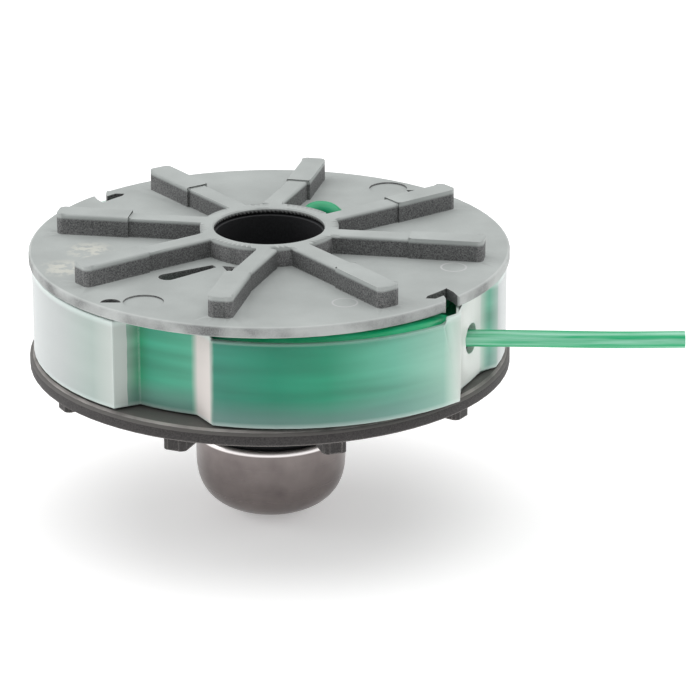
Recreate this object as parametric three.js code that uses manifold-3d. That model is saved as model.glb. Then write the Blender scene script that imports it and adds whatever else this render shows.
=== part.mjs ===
// Cutting-line cassette of a tap-feed grass trimmer: a ribbed two-flange spool wound with
// nylon line, held by a springy translucent band, with a sprung bump knob underneath.
// Millimetres, +Z up along the spool axis. The origin is the centre of the spindle bore at
// the top face of the hub collar. Azimuth 0 points along -Y and grows towards +X.

import * as THREE from "three";
import { mergeVertices } from "three/addons/utils/BufferGeometryUtils.js";
import Module from "manifold-3d";

const wasm = await Module();
wasm.setup();

// ---------------------------------------------------------------- driving dimensions
const FIT = 0.3;                    // gap kept between neighbouring pieces
const HALF_TURN = 180;
const FLANGE_SEGMENTS = 80;
const TURNED_SEGMENTS = 44;

// upper flange
const HUB_HEIGHT = 2.75;
const HUB_RADIUS = 9.8;
const FLANGE_RADIUS = 34;
const FLANGE_TOP = -HUB_HEIGHT;
const FLANGE_THICKNESS = 1.6;
const FLANGE_UNDERSIDE = FLANGE_TOP - FLANGE_THICKNESS;
const BORE_RADIUS = 7.85;
const BORE_CHAMFER = 0.2;
const BORE_LIP_BOTTOM = -0.7;
const HOOK_INNER_RADIUS = 30.7;
const HOOK_OUTER_RADIUS = 32.2;
const MARK_RADIUS = 2.8;
const MARK_DEPTH = 0.25;

// ribs of the upper flange; opposite ribs lean alike, and only the first pair bends at the step
const RIB_COUNT = 8;
const RIB_PITCH = 360 / RIB_COUNT;
const RIB_FIRST_AZIMUTH = -11.5;
// sideways offset of a rib's centre line at the hub, at the step and at the outer end
const RIB_OFFSETS = [[1.9, 0.2, 0], [-0.9, -0.5, -0.2], [-0.8, -0.4, 0], [-1.3, -0.7, 0]];
const RIB_STEP_RADIUS = 20.3;
const RIB_END_RADIUS = 30.8;
const RIB_INNER_WIDTH = 2.9;
const RIB_OUTER_WIDTH = 3.5;
const RIB_OUTER_TOP = 0.25;
const RIB_END_ROUNDING = 0.9;

// lower flange
const LOWER_RADIUS = 34.2;
const LOWER_TOP = FLANGE_TOP - 14.95;
const LOWER_BOTTOM = LOWER_TOP - 2.1;
const LOWER_CHAMFER = 0.65;
const LOWER_HOLE_RADIUS = 9.75;
const LOWER_COLLAR_RADIUS = 12.4;
const LOWER_RIB_COUNT = 9;
const LOWER_RIB_PITCH = 360 / LOWER_RIB_COUNT;
const LOWER_RIB_AZIMUTH = -23;
const LOWER_RIB_WIDTH = 3.4;
const LOWER_RIB_DEPTH = 2.3;
const LOWER_RIB_END_RADIUS = 32.4;

// winding core
const SLEEVE_OUTER_RADIUS = 8.6;
const SLEEVE_INNER_RADIUS = 7.6;
const BARREL_RADIUS = 13.2;
const CHAMBER_RADIUS = 11.2;
const CHAMBER_TOP = FLANGE_TOP - 2.8;

// bump knob
const NECK_RADIUS = 9.45;
const CARRIER_BORE_RADIUS = 7.9;
const CARRIER_LIP_RADIUS = 10.8;
const CARRIER_LIP_HEIGHT = 1.2;
const CARRIER_FLOOR = FLANGE_TOP - 31;
const CARRIER_BOTTOM = CARRIER_FLOOR - 1.6;
const CAP_RADIUS = 10.75;
const CAP_WALL = 0.9;
const CAP_RIM = FLANGE_TOP - 27.5;
const CAP_SHOULDER = CAP_RIM - 3.7;
const CAP_BOTTOM = CAP_RIM - 12.2;
const CAP_DOME_POWER = 2.7;

// return spring and its seat
const SEAT_THICKNESS = 0.6;
const SEAT_CLEARANCE = 0.6;
const SPRING_RADIUS = 9.9;
const SPRING_WIRE = 1.1;
const SPRING_TURNS = 3.5;

// line
const LINE_DIAMETER = 2.4;
const WINDING_RADIUS = 28.3;
const TAIL_START_RADIUS = 29.85;
const TAIL_END_X = 57.7;
const EXIT_Y = -16;
const EXIT_Z = FLANGE_TOP - 8.2;

// retaining band
const BAND_TOP = FLANGE_UNDERSIDE - FIT;
const BAND_BOTTOM = LOWER_TOP + FIT;
const BAND_WALL = 0.9;
const BAND_RADIUS = 33.6;
const FLAP_START_RADIUS = 33.3;     // the front and back arcs spring out towards their free end
const FLAP_END_RADIUS = 35.5;
const FLAP_START = -12.4;
const FLAP_SWEEP = 60.6;
const DEEP_RADIUS = 30.2;
const DIP_LENGTH = 31.6;
const DIP_WIDTH = 20;
const DIP_CENTRE_X = 8.6;
const DIP_DEPTH = 0.65;
const DIP_TILT = 0.7;
const EXIT_SLOT_WIDTH = 3.4;
const EXIT_SLOT_HEIGHT = 4.4;

// ---------------------------------------------------------------- materials
function plastic(name, colour, roughness) {
  return new THREE.MeshStandardMaterial({ name, color: colour, roughness, metalness: 0 });
}

function metal(name, colour, roughness) {
  return new THREE.MeshStandardMaterial({ name, color: colour, roughness, metalness: 1 });
}

const LIGHT_GREY = plastic("light_grey_nylon", 0xacb0ae, 0.6);
const DARK_GREY = plastic("dark_grey_nylon", 0x55504e, 0.6);
const MILKY = plastic("milky_polypropylene", 0xc8cdcb, 0.35);
const GREEN = plastic("green_line", 0x00a564, 0.35);
const SATIN_STEEL = metal("satin_steel", 0x968c8a, 0.35);
const SPRING_STEEL = metal("spring_steel", 0x8a8d90, 0.3);

MILKY.transparent = true;
MILKY.opacity = 0.6;

// ---------------------------------------------------------------- geometry helpers
function radians(degrees) {
  return THREE.MathUtils.degToRad(degrees);
}

function polar(radius, azimuth) {
  return new THREE.Vector2(radius * Math.sin(radians(azimuth)), -radius * Math.cos(radians(azimuth)));
}

function toSolid(geometry) {
  const bare = geometry.clone();
  bare.deleteAttribute("normal");
  bare.deleteAttribute("uv");
  const merged = mergeVertices(bare, 1e-4);
  const triangles = [];
  for (let i = 0; i < merged.index.count; i += 3) {
    const [a, b, c] = [merged.index.getX(i), merged.index.getX(i + 1), merged.index.getX(i + 2)];
    if (a !== b && b !== c && c !== a) {
      triangles.push(a, b, c);
    }
  }
  const vertProperties = new Float32Array(merged.attributes.position.array);
  const triVerts = new Uint32Array(triangles);
  return new wasm.Manifold(new wasm.Mesh({ numProp: 3, vertProperties, triVerts }));
}

function toGeometry(solid) {
  const mesh = solid.getMesh();
  const geometry = new THREE.BufferGeometry();
  geometry.setAttribute("position", new THREE.BufferAttribute(mesh.vertProperties, 3));
  geometry.setIndex(new THREE.BufferAttribute(mesh.triVerts, 1));
  geometry.computeVertexNormals();
  return geometry;
}

// Revolves [radius, height] points about Z; a ring's outline is closed on its first point.
function revolve(points, segments, ring = true) {
  const outline = points.map(([radius, height]) => new THREE.Vector2(radius, height));
  if (ring) {
    outline.push(outline[0].clone());
  }
  const geometry = new THREE.LatheGeometry(outline, segments);
  geometry.rotateX(Math.PI / 2);
  return geometry;
}

function prism(shape, bottom, top) {
  const geometry = new THREE.ExtrudeGeometry(shape, {
    depth: top - bottom,
    bevelEnabled: false,
    curveSegments: 6,
  });
  geometry.translate(0, 0, bottom);
  return geometry;
}

function cutter(radius, bottom, top, centre) {
  const geometry = new THREE.CylinderGeometry(radius, radius, top - bottom, 24);
  geometry.rotateX(Math.PI / 2);
  geometry.translate(centre.x, centre.y, (top + bottom) / 2);
  return toSolid(geometry);
}

function tube(points, diameter, sides, steps) {
  const section = new THREE.Shape();
  for (let side = 0; side < sides; side += 1) {
    const angle = (side / sides) * 2 * Math.PI;
    const x = (diameter / 2) * Math.cos(angle);
    const y = (diameter / 2) * Math.sin(angle);
    if (side === 0) {
      section.moveTo(x, y);
    } else {
      section.lineTo(x, y);
    }
  }
  section.closePath();
  const path = new THREE.CatmullRomCurve3(points, false, "centripetal");
  return new THREE.ExtrudeGeometry(section, { steps, extrudePath: path, bevelEnabled: false });
}

// ---------------------------------------------------------------- flanges
// A bar along +X with rounded outer corners, moved sideways and turned to its azimuth.
function ribSolid(azimuth, start, end, width, bottom, top, rounding, offset = 0) {
  const half = width / 2;
  const bar = new THREE.Shape();
  bar.moveTo(start, -half);
  bar.lineTo(end - rounding, -half);
  bar.absarc(end - rounding, -half + rounding, rounding, -Math.PI / 2, 0, false);
  bar.absarc(end - rounding, half - rounding, rounding, 0, Math.PI / 2, false);
  bar.lineTo(start, half);
  bar.closePath();
  const geometry = prism(bar, bottom, top);
  geometry.translate(0, offset, 0);
  geometry.rotateZ(radians(azimuth - 90));
  return toSolid(geometry);
}

// An open hook in the rim: a short way in from the edge, then a pointed arm along the rim.
function hookCutter() {
  const hook = new THREE.Shape();
  const tip = polar(31.2, 44);
  hook.moveTo(26.2, -25.5);
  hook.lineTo(26.2, -21.8);
  hook.lineTo(25.5, -19.8);
  hook.absarc(0, 0, HOOK_INNER_RADIUS, radians(53.3 - 90), radians(45.6 - 90), true);
  hook.lineTo(tip.x, tip.y);
  hook.absarc(0, 0, HOOK_OUTER_RADIUS, radians(45.6 - 90), radians(48.6 - 90), false);
  hook.lineTo(24.4, -22.4);
  hook.lineTo(24.4, -25.5);
  hook.closePath();
  return hook;
}

// A tapered relief slot that runs beside a rib, wide and round at its outer end.
function slotCutter() {
  const slot = new THREE.Shape();
  slot.moveTo(11.4, 3.1);
  slot.lineTo(19.1, 2.6);
  slot.absarc(19.1, 3.9, 1.3, -Math.PI / 2, Math.PI / 2, false);
  slot.lineTo(11.4, 4.2);
  slot.closePath();
  return slot;
}

// A wedge-shaped slit in the corner between the hub collar and a rib.
function cornerSlit() {
  const slit = new THREE.Shape();
  slit.moveTo(10.4, -2.6);
  slit.lineTo(10.4, -4.4);
  slit.lineTo(12.6, -3.1);
  slit.lineTo(12.6, -2.6);
  slit.closePath();
  return slit;
}

function halfMoonCutter() {
  const moon = new THREE.Shape();
  moon.absarc(21.1, 24.1, 1.4, Math.PI, 2 * Math.PI, false);
  moon.closePath();
  return moon;
}

function throughFlange(shape, azimuth) {
  const geometry = prism(shape, FLANGE_UNDERSIDE - 1, FLANGE_TOP + 1);
  geometry.rotateZ(radians(azimuth));
  return toSolid(geometry);
}

// A rib part whose centre line leans from one sideways offset at its start to another at its end.
function leaningRib(azimuth, [start, end], [from, to], width, bottom, top, rounding) {
  const lean = Math.atan2(to - from, end - start);
  const offset = from * Math.cos(lean) - start * Math.sin(lean);
  const turned = azimuth + lean * 180 / Math.PI;
  return ribSolid(turned, start, end, width, bottom, top, rounding, offset);
}

function upperRibs() {
  const root = FLANGE_TOP - FLANGE_THICKNESS / 2;
  const inner = [HUB_RADIUS - 0.6, RIB_STEP_RADIUS + 1];
  const outer = [RIB_STEP_RADIUS, RIB_END_RADIUS];
  const ribs = [];
  for (let rib = 0; rib < RIB_COUNT; rib += 1) {
    const azimuth = RIB_FIRST_AZIMUTH + rib * RIB_PITCH;
    const [hub, step, end] = RIB_OFFSETS[rib % RIB_OFFSETS.length];
    ribs.push(leaningRib(azimuth, inner, [hub, step], RIB_INNER_WIDTH, root, 0, 0.1));
    ribs.push(leaningRib(azimuth, outer, [step, end], RIB_OUTER_WIDTH, root,
      RIB_OUTER_TOP, RIB_END_ROUNDING));
  }
  return ribs;
}

function upperFlange() {
  const counterbore = SLEEVE_OUTER_RADIUS + FIT;
  let solid = toSolid(revolve([
    [counterbore, FLANGE_UNDERSIDE],
    [FLANGE_RADIUS, FLANGE_UNDERSIDE],
    [FLANGE_RADIUS, FLANGE_TOP],
    [HUB_RADIUS, FLANGE_TOP],
    [HUB_RADIUS, 0],
    [BORE_RADIUS + BORE_CHAMFER, 0],
    [BORE_RADIUS, -BORE_CHAMFER],
    [BORE_RADIUS, BORE_LIP_BOTTOM],
    [counterbore, BORE_LIP_BOTTOM],
  ], FLANGE_SEGMENTS));
  for (const rib of upperRibs()) {
    solid = solid.add(rib);
  }
  for (const turn of [0, HALF_TURN]) {
    solid = solid.subtract(throughFlange(hookCutter(), turn));
    solid = solid.subtract(throughFlange(cornerSlit(), turn + RIB_FIRST_AZIMUTH - 90));
    solid = solid.subtract(throughFlange(slotCutter(), turn + RIB_FIRST_AZIMUTH - RIB_PITCH - 90));
    solid = solid.subtract(throughFlange(halfMoonCutter(), turn));
  }
  for (const mark of [polar(29, -35), new THREE.Vector2(17, 25)]) {
    solid = solid.subtract(cutter(MARK_RADIUS, FLANGE_TOP - MARK_DEPTH, FLANGE_TOP + 1, mark));
  }
  return toGeometry(solid);
}

function lowerFlange() {
  let solid = toSolid(revolve([
    [LOWER_HOLE_RADIUS, LOWER_BOTTOM - LOWER_RIB_DEPTH],
    [LOWER_COLLAR_RADIUS, LOWER_BOTTOM - LOWER_RIB_DEPTH],
    [LOWER_COLLAR_RADIUS, LOWER_BOTTOM],
    [LOWER_RADIUS, LOWER_BOTTOM],
    [LOWER_RADIUS, LOWER_TOP - LOWER_CHAMFER],
    [LOWER_RADIUS - LOWER_CHAMFER, LOWER_TOP],
    [LOWER_HOLE_RADIUS, LOWER_TOP],
  ], FLANGE_SEGMENTS));
  for (let rib = 0; rib < LOWER_RIB_COUNT; rib += 1) {
    const azimuth = LOWER_RIB_AZIMUTH + rib * LOWER_RIB_PITCH;
    solid = solid.add(ribSolid(azimuth, LOWER_COLLAR_RADIUS - 0.5, LOWER_RIB_END_RADIUS,
      LOWER_RIB_WIDTH, LOWER_BOTTOM - LOWER_RIB_DEPTH, LOWER_BOTTOM + 0.8, RIB_END_ROUNDING));
  }
  return toGeometry(solid);
}

function windingCore() {
  const shoulder = FLANGE_UNDERSIDE - FIT;
  return revolve([
    [SLEEVE_INNER_RADIUS, CHAMBER_TOP],
    [CHAMBER_RADIUS, CHAMBER_TOP],
    [CHAMBER_RADIUS, LOWER_TOP + FIT],
    [BARREL_RADIUS, LOWER_TOP + FIT],
    [BARREL_RADIUS, shoulder],
    [SLEEVE_OUTER_RADIUS, shoulder],
    [SLEEVE_OUTER_RADIUS, BORE_LIP_BOTTOM - FIT],
    [SLEEVE_INNER_RADIUS, BORE_LIP_BOTTOM - FIT],
  ], TURNED_SEGMENTS);
}

// ---------------------------------------------------------------- knob and spring
function knobCarrier() {
  const top = LOWER_TOP + FIT + CARRIER_LIP_HEIGHT;
  return revolve([
    [0, CARRIER_BOTTOM],
    [NECK_RADIUS - 0.6, CARRIER_BOTTOM],
    [NECK_RADIUS, CARRIER_BOTTOM + 0.6],
    [NECK_RADIUS, LOWER_TOP + FIT],
    [CARRIER_LIP_RADIUS, LOWER_TOP + FIT],
    [CARRIER_LIP_RADIUS, top],
    [CARRIER_BORE_RADIUS, top],
    [CARRIER_BORE_RADIUS, CARRIER_FLOOR],
    [0, CARRIER_FLOOR],
  ], TURNED_SEGMENTS, false);
}

// Quarter of a superellipse from the axis out to the shoulder.
function domeProfile(radius, shoulder, bottom, steps) {
  const points = [];
  for (let step = 0; step <= steps; step += 1) {
    const angle = (step / steps) * (Math.PI / 2);
    const across = Math.sin(angle) ** (2 / CAP_DOME_POWER);
    const down = Math.cos(angle) ** (2 / CAP_DOME_POWER);
    points.push([radius * across, shoulder - (shoulder - bottom) * down]);
  }
  points[0][0] = 0;
  points[steps][1] = shoulder;
  return points;
}

function bumpCap() {
  const outer = domeProfile(CAP_RADIUS, CAP_SHOULDER, CAP_BOTTOM, 10);
  const inner = domeProfile(CAP_RADIUS - CAP_WALL, CAP_SHOULDER, CAP_BOTTOM + CAP_WALL, 6);
  const rim = [
    [CAP_RADIUS, CAP_RIM - 0.4],
    [CAP_RADIUS - 0.4, CAP_RIM],
    [CAP_RADIUS - CAP_WALL, CAP_RIM],
  ];
  return revolve([...outer, ...rim, ...inner.reverse()], TURNED_SEGMENTS, false);
}

function springSeat() {
  const top = CHAMBER_TOP - FIT;
  return revolve([
    [SLEEVE_INNER_RADIUS + SEAT_CLEARANCE, top - SEAT_THICKNESS],
    [CHAMBER_RADIUS - FIT, top - SEAT_THICKNESS],
    [CHAMBER_RADIUS - FIT, top],
    [SLEEVE_INNER_RADIUS + SEAT_CLEARANCE, top],
  ], TURNED_SEGMENTS);
}

function returnSpring() {
  const high = CHAMBER_TOP - 2 * FIT - SEAT_THICKNESS - SPRING_WIRE / 2;
  const low = LOWER_TOP + 2 * FIT + CARRIER_LIP_HEIGHT + SPRING_WIRE / 2;
  const points = [];
  const count = SPRING_TURNS * 10;
  for (let i = 0; i <= count; i += 1) {
    const flat = polar(SPRING_RADIUS, (i / count) * SPRING_TURNS * 360);
    points.push(new THREE.Vector3(flat.x, flat.y, high + (low - high) * (i / count)));
  }
  return tube(points, SPRING_WIRE, 8, count);
}

// ---------------------------------------------------------------- band and line
// One half of the band's outline as [radius, azimuth] stations; the other half repeats it.
function bandStations() {
  const stations = [];
  for (let step = 0; step <= 12; step += 1) {
    const share = step / 12;
    const radius = FLAP_START_RADIUS + (FLAP_END_RADIUS - FLAP_START_RADIUS) * share;
    stations.push([radius, FLAP_START + FLAP_SWEEP * share]);
  }
  stations.push([32.9, 54.2], [32.35, 61], [32.1, 67.4]);
  for (let step = 0; step <= 14; step += 1) {
    stations.push([BAND_RADIUS, 71.8 + 5 * step]);
  }
  for (let step = 0; step <= 4; step += 1) {
    stations.push([DEEP_RADIUS, 145 + 4.2 * step]);
  }
  return stations;
}

function bandOutline(inset) {
  const outline = [];
  for (const turn of [0, HALF_TURN]) {
    for (const [radius, azimuth] of bandStations()) {
      outline.push(polar(radius - inset, azimuth + turn));
    }
  }
  return outline;
}

function retainingBand() {
  const wall = new THREE.Shape(bandOutline(0));
  wall.holes.push(new THREE.Path(bandOutline(BAND_WALL)));
  let solid = toSolid(prism(wall, BAND_BOTTOM, BAND_TOP));
  for (const turn of [0, HALF_TURN]) {
    const dip = new THREE.BoxGeometry(DIP_LENGTH, DIP_WIDTH, 2);
    dip.rotateY(radians(DIP_TILT));
    dip.translate(DIP_CENTRE_X, -28, BAND_TOP + 1 - DIP_DEPTH);
    dip.rotateZ(radians(turn));
    solid = solid.subtract(toSolid(dip));
  }
  const slot = new THREE.Shape();
  const half = EXIT_SLOT_WIDTH / 2;
  const straight = EXIT_SLOT_HEIGHT / 2 - half;
  slot.absarc(0, straight, half, 0, Math.PI, false);
  slot.absarc(0, -straight, half, Math.PI, 2 * Math.PI, false);
  slot.closePath();
  const exit = prism(slot, 0, 12);
  exit.rotateX(Math.PI / 2);
  exit.rotateZ(Math.PI / 2);
  exit.translate(25, EXIT_Y, EXIT_Z);
  return toGeometry(solid.subtract(toSolid(exit)));
}

function lineWinding() {
  const inner = BARREL_RADIUS + FIT;
  return revolve([
    [inner, LOWER_TOP + FIT],
    [WINDING_RADIUS, LOWER_TOP + FIT],
    [WINDING_RADIUS, FLANGE_UNDERSIDE - FIT],
    [inner, FLANGE_UNDERSIDE - FIT],
  ], TURNED_SEGMENTS);
}

function lineTail() {
  const start = [40, 47, 53.8].map((azimuth) => polar(TAIL_START_RADIUS, azimuth));
  const route = start.map((flat) => new THREE.Vector3(flat.x, flat.y, EXIT_Z));
  route.push(new THREE.Vector3(25.7, -16.35, EXIT_Z));
  route.push(new THREE.Vector3(27.4, EXIT_Y, EXIT_Z));
  route.push(new THREE.Vector3(30.5, EXIT_Y, EXIT_Z));
  route.push(new THREE.Vector3(38, EXIT_Y, EXIT_Z - 0.1));
  route.push(new THREE.Vector3(48, EXIT_Y, EXIT_Z - 0.25));
  route.push(new THREE.Vector3(TAIL_END_X, EXIT_Y, EXIT_Z - 0.2));
  return tube(route, LINE_DIAMETER, 8, 18);
}

function lineAnchor() {
  const height = FLANGE_TOP + FIT + LINE_DIAMETER / 2;
  const route = [[6.0, 11.2], [6.9, 12.0], [7.9, 12.2], [9.2, 11.7]];
  return tube(route.map(([x, y]) => new THREE.Vector3(x, y, height)), LINE_DIAMETER, 8, 6);
}

// ---------------------------------------------------------------- assembly
const cassette = new THREE.Group();

function place(name, geometry, material) {
  const mesh = new THREE.Mesh(geometry, material);
  mesh.name = name;
  cassette.add(mesh);
}

place("upper_flange", upperFlange(), LIGHT_GREY);
place("winding_core", windingCore(), DARK_GREY);
place("lower_flange", lowerFlange(), DARK_GREY);
place("spring_seat", springSeat(), SPRING_STEEL);
place("return_spring", returnSpring(), SPRING_STEEL);
place("knob_carrier", knobCarrier(), DARK_GREY);
place("bump_cap", bumpCap(), SATIN_STEEL);
place("retaining_band", retainingBand(), MILKY);
place("line_winding", lineWinding(), GREEN);
place("line_anchor", lineAnchor(), GREEN);
place("line_tail", lineTail(), GREEN);

export default cassette;
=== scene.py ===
"""Cutting-line cassette of a grass trimmer: finishes, wound line, rounded mouldings and studio."""

from __future__ import annotations

import logging
import math
from dataclasses import dataclass
from enum import Enum

import bmesh
import bpy
from mathutils import Matrix, Vector


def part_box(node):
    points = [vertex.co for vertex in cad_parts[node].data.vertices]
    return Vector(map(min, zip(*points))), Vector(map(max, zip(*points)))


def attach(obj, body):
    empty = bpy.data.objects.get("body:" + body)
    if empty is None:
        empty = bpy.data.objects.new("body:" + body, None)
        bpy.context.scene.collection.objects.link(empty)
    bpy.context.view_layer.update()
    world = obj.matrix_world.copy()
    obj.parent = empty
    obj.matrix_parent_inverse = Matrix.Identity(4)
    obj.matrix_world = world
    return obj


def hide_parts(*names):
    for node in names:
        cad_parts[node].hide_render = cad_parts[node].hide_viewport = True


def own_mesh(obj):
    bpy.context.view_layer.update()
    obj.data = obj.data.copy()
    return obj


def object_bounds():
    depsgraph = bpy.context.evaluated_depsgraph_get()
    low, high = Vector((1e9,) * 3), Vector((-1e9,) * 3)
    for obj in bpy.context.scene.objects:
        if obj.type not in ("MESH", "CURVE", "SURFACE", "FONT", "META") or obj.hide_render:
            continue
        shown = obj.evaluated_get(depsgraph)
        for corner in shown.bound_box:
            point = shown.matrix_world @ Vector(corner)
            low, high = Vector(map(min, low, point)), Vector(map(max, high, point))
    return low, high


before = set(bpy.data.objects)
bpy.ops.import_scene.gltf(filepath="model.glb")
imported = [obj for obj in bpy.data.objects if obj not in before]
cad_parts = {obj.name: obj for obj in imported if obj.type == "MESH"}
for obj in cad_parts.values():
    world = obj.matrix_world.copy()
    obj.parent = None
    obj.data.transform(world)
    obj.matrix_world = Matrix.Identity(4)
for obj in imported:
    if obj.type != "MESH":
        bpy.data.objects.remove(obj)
CAD_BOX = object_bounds()
LOG = logging.getLogger("cassette")

MM = 0.001
LINE_DIAMETER = 2.4 * MM
LINE_HEIGHT = -10.95 * MM
FLANGE_TOP = -2.75 * MM
TOP_TURN = -5.95
WELD = 0.004 * MM
CREASE = math.radians(24)
SENSOR = 36.0
Colour = tuple[float, float, float]
Point = tuple[float, float, float]


class Body(str, Enum):
    """The moving bodies that pieces ride on."""

    SPOOL = "spool"
    BAND = "band"
    KNOB = "knob"


class Slot(str, Enum):
    """Names of the material slots that the mouldings are listed with."""

    LIGHT_NYLON = "light_grey_nylon"
    DARK_NYLON = "dark_grey_nylon"
    MILKY_BAND = "milky_band"
    GREEN_LINE = "green_line"
    SATIN_STEEL = "satin_steel"
    SPRING_STEEL = "spring_steel"


def polar(radius: float, azimuth: float, height: float) -> Vector:
    """Turns a radius, an azimuth and a height into a point.

    Args:
        radius: distance from the spool's axis, in mm.
        azimuth: degrees from the front, towards +X.
        height: height above the hub collar's top, in mm.

    Returns:
        The point in metres.
    """
    angle = math.radians(azimuth)
    return Vector((radius * math.sin(angle), -radius * math.cos(angle), height)) * MM


# ------------------------------------------------------------------ finishes
@dataclass(frozen=True)
class MouldedNylon:
    """Glass-filled nylon out of a spark-eroded mould; its upright sides are darker than its flat
    faces as painted shade from the overhead light.

    Attributes:
        name: name of the material.
        face: colour of the faces that look up or down.
        shaded_side: colour of the upright faces, darker than the flat faces as painted shade.
        speck: colour of the dark specks in the grain.
        worn: colour of the rubbed edges.
        wear: share of the worn colour on an edge.
        roughness: middle roughness.
        marks: ring marks of the ejector pins, as centre x, centre y and radius in metres.
        scuffs: centres of the pale scuffed patches, in metres.
        pale_above: height above which upright faces take the flat faces' colour instead of the
            darker side colour.
        rubbed_ring: radius of the worn line round the rim, in metres.
    """

    name: str
    face: Colour
    shaded_side: Colour
    speck: Colour
    worn: Colour
    wear: float = 0.5
    roughness: float = 0.6
    marks: tuple[Point, ...] = ()
    scuffs: tuple[Point, ...] = ()
    pale_above: float = 1.0
    rubbed_ring: float = 1.0

    def build(self) -> bpy.types.Material:
        """Makes the node material.

        Returns:
            The finished material.
        """
        material = bpy.data.materials.new(self.name)
        material.use_nodes = True
        material.diffuse_color = (*self.face, 1.0)
        tree = material.node_tree
        tree.nodes.clear()
        nodes, links = tree.nodes, tree.links

        base_frame = nodes.new("NodeFrame")
        base_frame.label = "Face and side colour"
        grain_frame = nodes.new("NodeFrame")
        grain_frame.label = "Eroded grain"
        wear_frame = nodes.new("NodeFrame")
        wear_frame.label = "Rubbed edges and scuffs"
        relief_frame = nodes.new("NodeFrame")
        relief_frame.label = "Relief"

        place = nodes.new("ShaderNodeTexCoord")
        place.label = "Place on the moulding"
        place.location = (-1500, 0)

        # Painted shade: upright faces take the darker side colour and flat faces the face colour,
        # as if the sides lay in shade from the overhead light.
        facing = nodes.new("ShaderNodeSeparateXYZ")
        facing.label = "How far a face looks up"
        facing.location = (-1300, 300)
        facing.parent = base_frame

        upright = nodes.new("ShaderNodeMath")
        upright.label = "Up or down alike"
        upright.operation = "ABSOLUTE"
        upright.location = (-1120, 300)
        upright.parent = base_frame
        links.new(facing.outputs["Z"], upright.inputs[0])

        flatness = nodes.new("ShaderNodeMapRange")
        flatness.label = "Flat face mask"
        flatness.location = (-940, 300)
        flatness.parent = base_frame
        flatness.inputs["From Min"].default_value = 0.35
        flatness.inputs["From Max"].default_value = 0.8
        links.new(upright.outputs["Value"], flatness.inputs["Value"])

        heights = nodes.new("ShaderNodeSeparateXYZ")
        heights.label = "Height on the moulding"
        heights.location = (-1300, 520)
        heights.parent = base_frame
        links.new(place.outputs["Object"], heights.inputs["Vector"])

        # Above pale_above the upright faces take the face colour instead of the darker side
        # colour.
        crest = nodes.new("ShaderNodeMapRange")
        crest.label = "Upper edge of the rib sides"
        crest.location = (-1120, 520)
        crest.parent = base_frame
        crest.inputs["From Min"].default_value = self.pale_above - 0.35 * MM
        crest.inputs["From Max"].default_value = self.pale_above
        links.new(heights.outputs["Z"], crest.inputs["Value"])

        pale = nodes.new("ShaderNodeMath")
        pale.label = "Flat or near the rib tops"
        pale.operation = "MAXIMUM"
        pale.location = (-840, 460)
        pale.parent = base_frame
        links.new(flatness.outputs["Result"], pale.inputs[0])
        links.new(crest.outputs["Result"], pale.inputs[1])

        grain = nodes.new("ShaderNodeTexNoise")
        grain.label = "Fine eroded grain"
        grain.location = (-1300, 0)
        grain.parent = grain_frame
        grain.inputs["Scale"].default_value = 5200.0
        grain.inputs["Detail"].default_value = 3.0
        grain.inputs["Roughness"].default_value = 0.7
        links.new(place.outputs["Object"], grain.inputs["Vector"])

        specks = nodes.new("ShaderNodeValToRGB")
        specks.label = "Dark specks"
        specks.location = (-1100, 0)
        specks.parent = grain_frame
        specks.color_ramp.elements[0].position = 0.36
        specks.color_ramp.elements[0].color = (1, 1, 1, 1)
        specks.color_ramp.elements[1].position = 0.64
        specks.color_ramp.elements[1].color = (0, 0, 0, 1)
        links.new(grain.outputs["Fac"], specks.inputs["Fac"])

        cloud = nodes.new("ShaderNodeTexNoise")
        cloud.label = "Slow cloud of the nylon"
        cloud.location = (-1300, -250)
        cloud.parent = grain_frame
        cloud.inputs["Scale"].default_value = 130.0
        cloud.inputs["Detail"].default_value = 4.0
        links.new(place.outputs["Object"], cloud.inputs["Vector"])

        shaded_side = nodes.new("ShaderNodeMix")
        shaded_side.label = "Specks on the sides"
        shaded_side.data_type = "RGBA"
        shaded_side.location = (-860, 60)
        shaded_side.parent = base_frame
        shaded_side.inputs["A"].default_value = (*self.shaded_side, 1)
        shaded_side.inputs["B"].default_value = (*self.speck, 1)
        links.new(specks.outputs["Color"], shaded_side.inputs["Factor"])

        clouded = nodes.new("ShaderNodeMapRange")
        clouded.label = "Cloud strength"
        clouded.location = (-1100, -250)
        clouded.parent = grain_frame
        clouded.inputs["From Min"].default_value = 0.3
        clouded.inputs["From Max"].default_value = 0.7
        clouded.inputs["To Min"].default_value = 0.9
        clouded.inputs["To Max"].default_value = 1.07
        links.new(cloud.outputs["Fac"], clouded.inputs["Value"])

        face = nodes.new("ShaderNodeMix")
        face.label = "Cloud over the faces"
        face.data_type = "RGBA"
        face.blend_type = "MULTIPLY"
        face.location = (-860, -160)
        face.parent = base_frame
        face.inputs["Factor"].default_value = 1.0
        face.inputs["A"].default_value = (*self.face, 1)
        links.new(clouded.outputs["Result"], face.inputs["B"])

        body = nodes.new("ShaderNodeMix")
        body.label = "Faces over sides"
        body.data_type = "RGBA"
        body.location = (-660, 100)
        body.parent = base_frame
        links.new(pale.outputs["Value"], body.inputs["Factor"])
        links.new(shaded_side.outputs["Result"], body.inputs["A"])
        links.new(face.outputs["Result"], body.inputs["B"])

        corner = nodes.new("ShaderNodeBevel")
        corner.label = "Rounded corner"
        corner.samples = 4
        corner.location = (-1300, -520)
        corner.parent = wear_frame
        corner.inputs["Radius"].default_value = 0.35 * MM

        surface = nodes.new("ShaderNodeNewGeometry")
        surface.label = "True surface"
        surface.location = (-1300, -700)
        surface.parent = wear_frame
        links.new(surface.outputs["True Normal"], facing.inputs["Vector"])

        turn = nodes.new("ShaderNodeVectorMath")
        turn.label = "Turn at the corner"
        turn.operation = "DOT_PRODUCT"
        turn.location = (-1110, -580)
        turn.parent = wear_frame
        links.new(corner.outputs["Normal"], turn.inputs[0])
        links.new(surface.outputs["Normal"], turn.inputs[1])

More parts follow.
